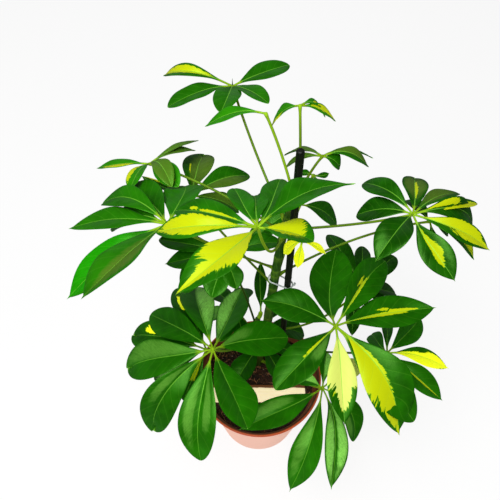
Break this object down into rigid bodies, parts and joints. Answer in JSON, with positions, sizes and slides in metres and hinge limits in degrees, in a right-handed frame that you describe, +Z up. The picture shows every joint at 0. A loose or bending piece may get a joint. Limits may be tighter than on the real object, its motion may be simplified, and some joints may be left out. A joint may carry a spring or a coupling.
{
  "type": "potted umbrella plant",
  "caption": "Variegated umbrella tree houseplant, its whorls of oval leaflets on long stalks, tied to a thin stake in a round nursery pot of soil.",
  "frame": {"origin": "middle of the pot's underside, on the surface that the pot stands on", "axes": "+Z up along the pot's axis, -Y towards the side with the tag, +X to the right when the plant is seen from that side"},
  "size_m": [0.3217, 0.2821, 0.428],
  "materials": {
    "pot_plastic": "satin",
    "peat": "matte",
    "black_plastic": "satin",
    "pale_wood": "matte",
    "green_stem": "satin",
    "clear_plastic": "gloss",
    "leaf": "satin"
  },
  "bodies": {
    "root": {"pot": "pot_plastic", "soil": "peat", "stake": "black_plastic", "tag": "pale_wood", "main_stem": "green_stem", "short_stem": "green_stem", "tie": "clear_plastic", "leaf_back_centre": "leaf", "leaf_back_left": "leaf", "leaf_back_right": "leaf", "leaf_back_right_young": "leaf", "leaf_centre_back": "leaf", "leaf_centre_left": "leaf", "leaf_centre_low": "leaf", "leaf_centre_right": "leaf", "leaf_centre_upright": "leaf", "leaf_front_left": "leaf", "leaf_front_right": "leaf", "leaf_front_top": "leaf", "leaf_hanging_young": "leaf", "leaf_left": "leaf", "leaf_left_inner": "leaf", "leaf_left_low": "leaf", "leaf_low_front": "leaf", "leaf_low_right": "leaf", "leaf_right": "leaf", "leaf_right_inner": "leaf", "leaf_right_under": "leaf", "leaf_top_left": "leaf", "leaf_top_shoot": "leaf", "leaf_top_young": "leaf"}
  },
  "joints": []
}
